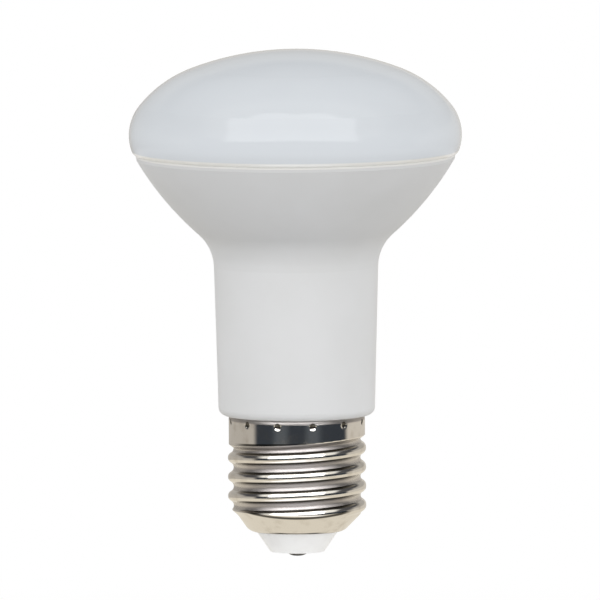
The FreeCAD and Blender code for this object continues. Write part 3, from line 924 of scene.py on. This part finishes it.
@dataclass
class Floor:
    """Pale round floor that fades into the white surroundings and is clear from below.

    Rays from the camera meet a plain floor with the bulb's shadow. Other rays meet a pool of
    light, and metal mirrors a bright patch in front of the bulb and a dark one behind it.
    """

    height: float = -0.035
    radius: float = 0.30
    corners: int = 96
    colour: Colour = (0.86, 0.86, 0.85)
    fleck: Colour = (0.8, 0.8, 0.8)
    fleck_share: float = 0.05
    flecks: Grain = Grain(900.0, 2.0)
    white: Colour = (1.0, 1.0, 1.0)
    white_span: Span = (0.35, 0.98)
    pool: float = 1.38
    pool_edge: float = 0.20
    pool_shift: float = 0.008
    pool_span: Span = (0.070, 0.02)
    mirrored: Colour = (0.80, 0.748, 0.647)
    front: Colour = (1.4, 1.4, 1.42)
    front_near: Span = (-0.014, -0.020)
    front_far: Span = (-0.17, -0.14)
    front_half: Span = (0.06, 0.03)
    back: Colour = (0.04, 0.04, 0.04)
    back_near: Span = (0.004, 0.018)
    back_half: Span = (0.020, 0.010)

    def plain(self, shader: Shader, across: Wire, along: Wire) -> Wire:
        """What the camera sees.

        Args:
            shader: The shader to add to.
            across: Place to the right of the bulb.
            along: Place behind the bulb.

        Returns:
            A pale surface that turns white towards its rim.
        """
        start, end = self.white_span
        fade = across.away(along).step(self.radius * start, self.radius * end)
        colour = shader.mix(shader.noise(self.flecks) * self.fleck_share, self.colour, self.fleck)
        pale = shader.node("ShaderNodeBsdfDiffuse", inputs={"Color": colour})
        return shader.either(fade, pale, shader.glow(self.white))

    def light(self, shader: Shader, across: Wire, along: Wire, mirrored: Wire) -> Wire:
        """What the bulb gets from the floor.

        Args:
            shader: The shader to add to.
            across: Place to the right of the bulb.
            along: Place behind the bulb.
            mirrored: Mask of the rays that a glossy surface mirrors.

        Returns:
            A glowing surface.
        """
        lit = (across - self.pool_shift).away(along).step(*self.pool_span)
        lit = shader.grey(self.pool_edge + (self.pool - self.pool_edge) * lit)
        front = along.band(self.front_near, self.front_far) * abs(across).step(*self.front_half)
        back = along.step(*self.back_near) * abs(across).step(*self.back_half)
        image = shader.mix(front, self.mirrored, self.front)
        image = shader.mix(back, image, self.back)
        return shader.glow(shader.mix(mirrored, lit, image))

    def material(self) -> bpy.types.Material:
        """Build the floor's material.

        Returns:
            The finished material.
        """
        material, shader = new_material("pale_floor")
        across, along, _ = shader.parts(shader.place())
        seen, mirrored = shader.rays()
        light = self.light(shader, across, along, mirrored)
        both = shader.either(seen, light, self.plain(shader, across, along))
        under = shader.node("ShaderNodeNewGeometry", output="Backfacing") * seen
        clear = shader.node("ShaderNodeBsdfTransparent")
        surface = shader.either(under, both, clear)
        shader.node("ShaderNodeOutputMaterial", inputs={"Surface": surface})
        return material

    def build(self) -> None:
        """Make the floor below the bulb."""
        turns = [math.tau * corner / self.corners for corner in range(self.corners)]
        ring = [(self.radius * math.cos(turn), self.radius * math.sin(turn), 0) for turn in turns]
        mesh = bpy.data.meshes.new("floor")
        mesh.from_pydata(ring, [], [tuple(range(self.corners))])
        mesh.materials.append(self.material())
        floor = bpy.data.objects.new("floor", mesh)
        floor.location.z = self.height
        bpy.context.scene.collection.objects.link(floor)


@dataclass
class Sky:
    """Soft surroundings.

    Rays from the camera meet plain white. Dull surfaces get a smooth fill, and glossy ones
    mirror pale walls, a window in front and a dark strip at eye level.
    """

    white: Colour = (1.0, 1.0, 1.0)
    axis_guard: float = 0.001
    above: Colour = (0.08, 0.08, 0.085)
    below: Colour = (0.95, 0.93, 0.90)
    above_span: Span = (-0.3, 0.3)
    behind: Colour = (0.45, 0.43, 0.40)
    behind_back: Span = (0.2, 0.4)
    behind_low: Span = (-0.1, 0.1)
    behind_high: Span = (0.55, 0.40)
    strip_low: Span = (-0.24, -0.17)
    strip_high: Span = (0.20, 0.12)
    strip: Colour = (0.036, 0.043, 0.055)
    strip_turn: float = math.radians(8.5)
    strip_front: Span = (0.0, 0.2)
    streak: Colour = (0.095, 0.108, 0.125)
    streak_aside: float = 0.45
    streak_half: Span = (0.30, 0.05)
    left: Colour = (0.50, 0.47, 0.43)
    right: Colour = (0.66, 0.62, 0.56)
    right_span: Span = (-0.2, 0.2)
    walls: Colour = (1.0, 0.99, 0.95)
    walls_low: Span = (0.22, 0.33)
    walls_half: Span = (0.80, 0.60)
    walls_lean: float = 0.5
    walls_back: Span = (0.25, 0.0)
    window: Colour = (4.3, 4.3, 4.35)
    window_low: Span = (0.245, 0.285)
    window_sag: float = 0.142
    window_shift: float = 0.03
    window_half: float = 0.776
    window_taper: float = 0.25
    window_top: float = 0.79
    window_lean: float = 0.25
    window_power: int = 6
    window_edge: Span = (1.2, 0.88)
    window_back: Span = (0.0, -0.1)
    fill: float = 1.21
    fill_up: float = -0.20
    fill_front: float = 0.30
    fill_back: float = -0.2
    fill_below: float = 0.50
    fill_span: Span = (-0.30, 0.08)

    def dark(self, shader: Shader, x: Wire, y: Wire) -> Wire:
        """Colour of the strip at eye level.

        Args:
            shader: The shader to add to.
            x: Direction to the right.
            y: Direction to the back.

        Returns:
            Dark in front with two paler streaks, and pale at the sides and behind.
        """
        across, along = math.sin(self.strip_turn), math.cos(self.strip_turn)
        front = (x * across - y * along) / (x.away(y) + self.axis_guard)
        streak = abs(abs(x) - self.streak_aside).step(*self.streak_half)
        strip = shader.mix(streak, self.strip, self.streak)
        aside = shader.mix(x.step(*self.right_span), self.left, self.right)
        return shader.mix(front.step(*self.strip_front), aside, strip)

    def pane(self, x: Wire, y: Wire, z: Wire) -> Wire:
        """Mask of the window.

        Args:
            x: Direction to the right.
            y: Direction to the back.
            z: Direction upwards.

        Returns:
            1 inside the window's rounded outline.
        """
        low = (z + abs(x) * self.window_sag).step(*self.window_low)
        side = (abs(x + self.window_shift) + z * self.window_taper) / self.window_half
        top = (y - abs(x) * self.window_lean + 1.0).at_least(0.0) / self.window_top
        outline = (side ** self.window_power + top ** self.window_power).step(*self.window_edge)
        return low * outline * y.step(*self.window_back)

    def image(self, shader: Shader, x: Wire, y: Wire, z: Wire) -> Wire:
        """What glossy surfaces mirror.

        Args:
            shader: The shader to add to.
            x: Direction to the right.
            y: Direction to the back.
            z: Direction upwards.

        Returns:
            The colour of the surroundings in each direction.
        """
        sky = shader.mix(z.step(*self.above_span), self.below, self.above)
        behind = y.step(*self.behind_back) * z.band(self.behind_low, self.behind_high)
        sky = shader.mix(behind, sky, self.behind)
        strip = z.band(self.strip_low, self.strip_high)
        sky = shader.mix(strip, sky, self.dark(shader, x, y))
        walls = z.step(*self.walls_low) * (abs(x) + y * self.walls_lean).step(*self.walls_half)
        sky = shader.mix(walls * y.step(*self.walls_back), sky, self.walls)
        return shader.mix(self.pane(x, y, z), sky, self.window)

    def soft(self, shader: Shader, y: Wire, z: Wire) -> Wire:
        """What dull surfaces get.

        Args:
            shader: The shader to add to.
            y: Direction to the back.
            z: Direction upwards.

        Returns:
            The light from each direction.
        """
        fill = self.fill + self.fill_up * z + self.fill_front * (-y).at_least(self.fill_back)
        share = self.fill_below + (1.0 - self.fill_below) * z.step(*self.fill_span)
        return shader.grey(fill * share)

    def build(self) -> None:
        """Make the world."""
        world = bpy.data.worlds.new("studio")
        world.use_nodes = True
        bpy.context.scene.world = world
        shader = Shader(world.node_tree)
        seen, mirrored = shader.rays()
        x, y, z = shader.parts(shader.node("ShaderNodeTexCoord", output="Generated"))
        light = shader.mix(mirrored, self.soft(shader, y, z), self.image(shader, x, y, z))
        light = shader.mix(seen, light, self.white)
        back = shader.node("ShaderNodeBackground", inputs={"Color": light, "Strength": 1.0})
        shader.node("ShaderNodeOutputWorld", inputs={"Surface": back})


@dataclass
class Camera:
    """Long lens at the photograph's angle, a little above the bulb's middle."""

    distance: float = 4.5
    elevation: float = math.radians(5.3)
    roll: float = math.radians(-0.3)
    aim: tuple[float, float, float] = (0.00072, 0.0, 0.04857)
    pixels: float = 600.0
    pixels_in_mm: float = 5.285
    sensor: float = 36.0
    reach: float = 100.0

    def build(self) -> None:
        """Make the camera and take it into use."""
        width = self.pixels / self.pixels_in_mm * MM
        lens = bpy.data.cameras.new("camera")
        lens.sensor_width = self.sensor
        lens.lens = self.sensor * self.distance / width
        lens.clip_end = self.reach
        camera = bpy.data.objects.new("camera", lens)
        back = Vector((0, -math.cos(self.elevation), math.sin(self.elevation)))
        place = Matrix.Translation(Vector(self.aim) + back * self.distance)
        turn = back.to_track_quat("Z", "Y").to_matrix().to_4x4()
        camera.matrix_world = place @ turn @ Matrix.Rotation(self.roll, 4, "Z")
        bpy.context.scene.collection.objects.link(camera)
        bpy.context.scene.camera = camera


@dataclass
class Studio:
    """Floor, surroundings and camera."""

    floor: Floor = field(default_factory=Floor)
    sky: Sky = field(default_factory=Sky)
    camera: Camera = field(default_factory=Camera)

    def build(self) -> None:
        """Make all three and set the plain view."""
        self.floor.build()
        self.sky.build()
        self.camera.build()
        bpy.context.scene.view_settings.view_transform = "Standard"


def report(pieces: dict[Slot, bpy.types.Object]) -> None:
    """Log the finish and the number of faces of each piece.

    Args:
        pieces: The pieces that were built or dressed, by their finishes.
    """
    for slot, piece in pieces.items():
        LOG.info("%s in %s: %d faces", piece.name, slot.value, len(piece.data.polygons))


def main() -> None:
    """Build the studio and the bulb's visible form."""
    logging.basicConfig(level=logging.INFO, format="%(name)s %(message)s")
    Studio().build()
    report(Head().build())
    report(ScrewCap().build())
    report(EndPlug().build())


if __name__ == "__main__":
    main()
